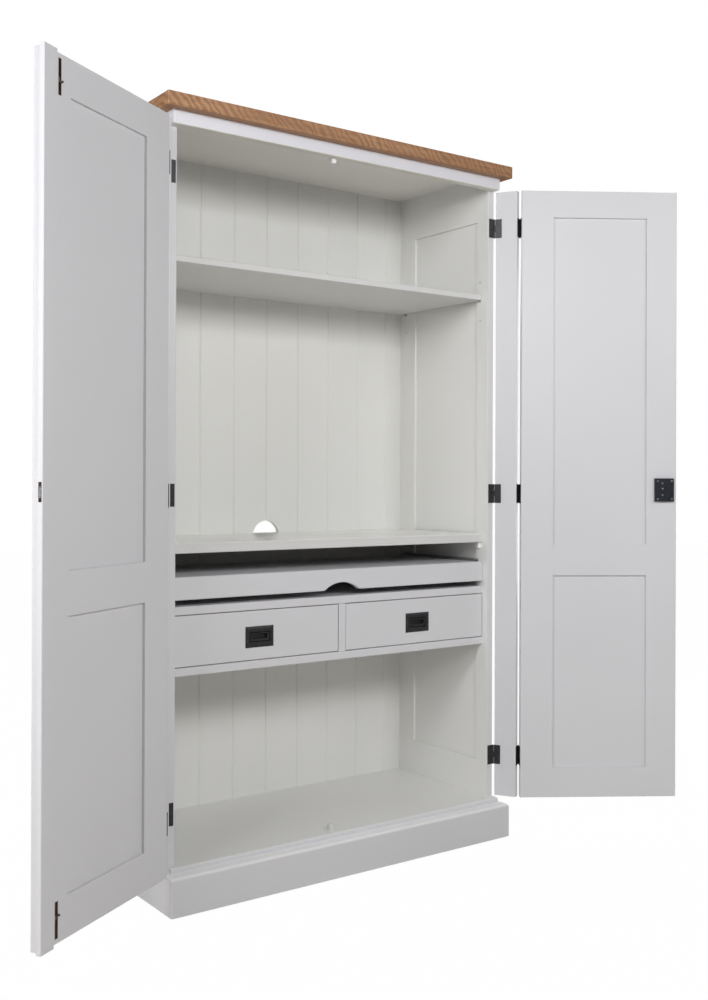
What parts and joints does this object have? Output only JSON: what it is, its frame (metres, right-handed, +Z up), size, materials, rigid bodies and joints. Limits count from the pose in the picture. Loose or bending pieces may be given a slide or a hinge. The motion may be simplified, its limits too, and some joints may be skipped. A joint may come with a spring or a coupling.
{
  "type": "computer armoire",
  "caption": "Tall white computer armoire with an oak top, double-hinged fold-back doors, a shelf, a worktop, a sliding keyboard tray and inset drawers.",
  "frame": {"origin": "on the floor, at the middle of the plinth's front face", "axes": "+Z up, +Y from the front to the back, +X to the right seen from the front"},
  "size_m": [1.9656, 0.7719, 1.978],
  "materials": {
    "white_paint": "satin paint",
    "oak": "sawn and oiled",
    "drawer_wood": "clear lacquer",
    "black_iron": "matt black",
    "aged_bronze": "aged dark",
    "bright_steel": "zinc plated",
    "white_plastic": "moulded"
  },
  "bodies": {
    "carcass": {"plinth_front": "white_paint", "plinth_returns": "white_paint", "base_board": "white_paint", "left_side_stiles": "white_paint", "left_side_rails": "white_paint", "left_side_panel": "white_paint", "right_side_stiles": "white_paint", "right_side_rails": "white_paint", "right_side_panel": "white_paint", "back_boards": "white_paint", "fascia_rail": "white_paint", "top_slab": "oak", "ceiling_panel": "white_paint", "shelf": "white_paint", "shelf_pegs": "bright_steel", "worktop": "white_paint", "worktop_supports": "white_plastic", "drawer_case_top": "white_paint", "drawer_case_bottom": "white_paint", "drawer_case_divider": "white_paint", "tray_runner_channels": "bright_steel", "door_stops": "white_plastic", "left_carcass_hinges": "black_iron", "right_carcass_hinges": "black_iron", "carcass_hinge_pins": "black_iron"},
    "left_strip": {"left_strip_board": "white_paint", "left_strip_hinges": "black_iron", "left_strip_hinge_pins": "black_iron"},
    "left_door": {"left_door_stiles": "white_paint", "left_door_rails": "white_paint", "left_door_panels": "white_paint", "left_door_cover_strip": "white_paint", "left_door_hinges": "black_iron", "bolt_plates": "aged_bronze", "strike_plate": "aged_bronze"},
    "top_bolt": {"top_bolt": "aged_bronze"},
    "bottom_bolt": {"bottom_bolt": "aged_bronze"},
    "right_strip": {"right_strip_board": "white_paint", "right_strip_hinges": "black_iron", "right_strip_hinge_pins": "black_iron"},
    "right_door": {"right_door_stiles": "white_paint", "right_door_rails": "white_paint", "right_door_panels": "white_paint", "right_door_hinges": "black_iron", "lock_case": "black_iron"},
    "lock_bolt": {"lock_bolt": "bright_steel"},
    "keyboard_tray": {"tray_board": "white_paint", "tray_front": "white_paint", "tray_runner_slides": "bright_steel"},
    "left_drawer": {"left_drawer_front": "white_paint", "left_drawer_box": "drawer_wood", "left_drawer_bottom": "drawer_wood", "left_drawer_handle_plate": "black_iron"},
    "right_drawer": {"right_drawer_front": "white_paint", "right_drawer_box": "drawer_wood", "right_drawer_bottom": "drawer_wood", "right_drawer_handle_plate": "black_iron"},
    "left_bail": {"left_drawer_bail": "black_iron"},
    "right_bail": {"right_drawer_bail": "black_iron"}
  },
  "joints": [
    {"name": "left_strip_swing", "type": "hinge", "parent": "carcass", "child": "left_strip", "pos_m": [-0.5383, 0.0585, 0], "axis": [0, 0, -1], "range_deg": [-108.3, 71.7]},
    {"name": "left_door_fold", "type": "hinge", "parent": "left_strip", "child": "left_door", "pos_m": [-0.58472, 0.00033, 0], "axis": [0, 0, -1], "range_deg": [-40.4, 49.6]},
    {"name": "right_strip_swing", "type": "hinge", "parent": "carcass", "child": "right_strip", "pos_m": [0.5383, 0.0585, 0], "axis": [0, 0, 1], "range_deg": [-120, 60]},
    {"name": "right_door_fold", "type": "hinge", "parent": "right_strip", "child": "right_door", "pos_m": [0.59555, 0.01095, 0], "axis": [0, 0, 1], "range_deg": [-26.7, 63.3]},
    {"name": "top_bolt_slide", "type": "slide", "parent": "left_door", "child": "top_bolt", "axis": [0, 0, -1], "range_m": [-0.01, 0]},
    {"name": "bottom_bolt_slide", "type": "slide", "parent": "left_door", "child": "bottom_bolt", "axis": [0, 0, 1], "range_m": [-0.01, 0]},
    {"name": "lock_bolt_slide", "type": "slide", "parent": "right_door", "child": "lock_bolt", "axis": [-0.8358, 0.549, 0], "range_m": [-0.008, 0]},
    {"name": "keyboard_tray_slide", "type": "slide", "parent": "carcass", "child": "keyboard_tray", "axis": [0, -1, 0], "range_m": [0, 0.28]},
    {"name": "left_drawer_slide", "type": "slide", "parent": "carcass", "child": "left_drawer", "axis": [0, -1, 0], "range_m": [0, 0.3]},
    {"name": "right_drawer_slide", "type": "slide", "parent": "carcass", "child": "right_drawer", "axis": [0, -1, 0], "range_m": [0, 0.3]},
    {"name": "left_bail_swing", "type": "hinge", "parent": "left_drawer", "child": "left_bail", "pos_m": [-0.262, 0.0791, 0.65105], "axis": [-1, 0, 0], "range_deg": [0, 80]},
    {"name": "right_bail_swing", "type": "hinge", "parent": "right_drawer", "child": "right_bail", "pos_m": [0.262, 0.0791, 0.65105], "axis": [-1, 0, 0], "range_deg": [0, 80]}
  ]
}
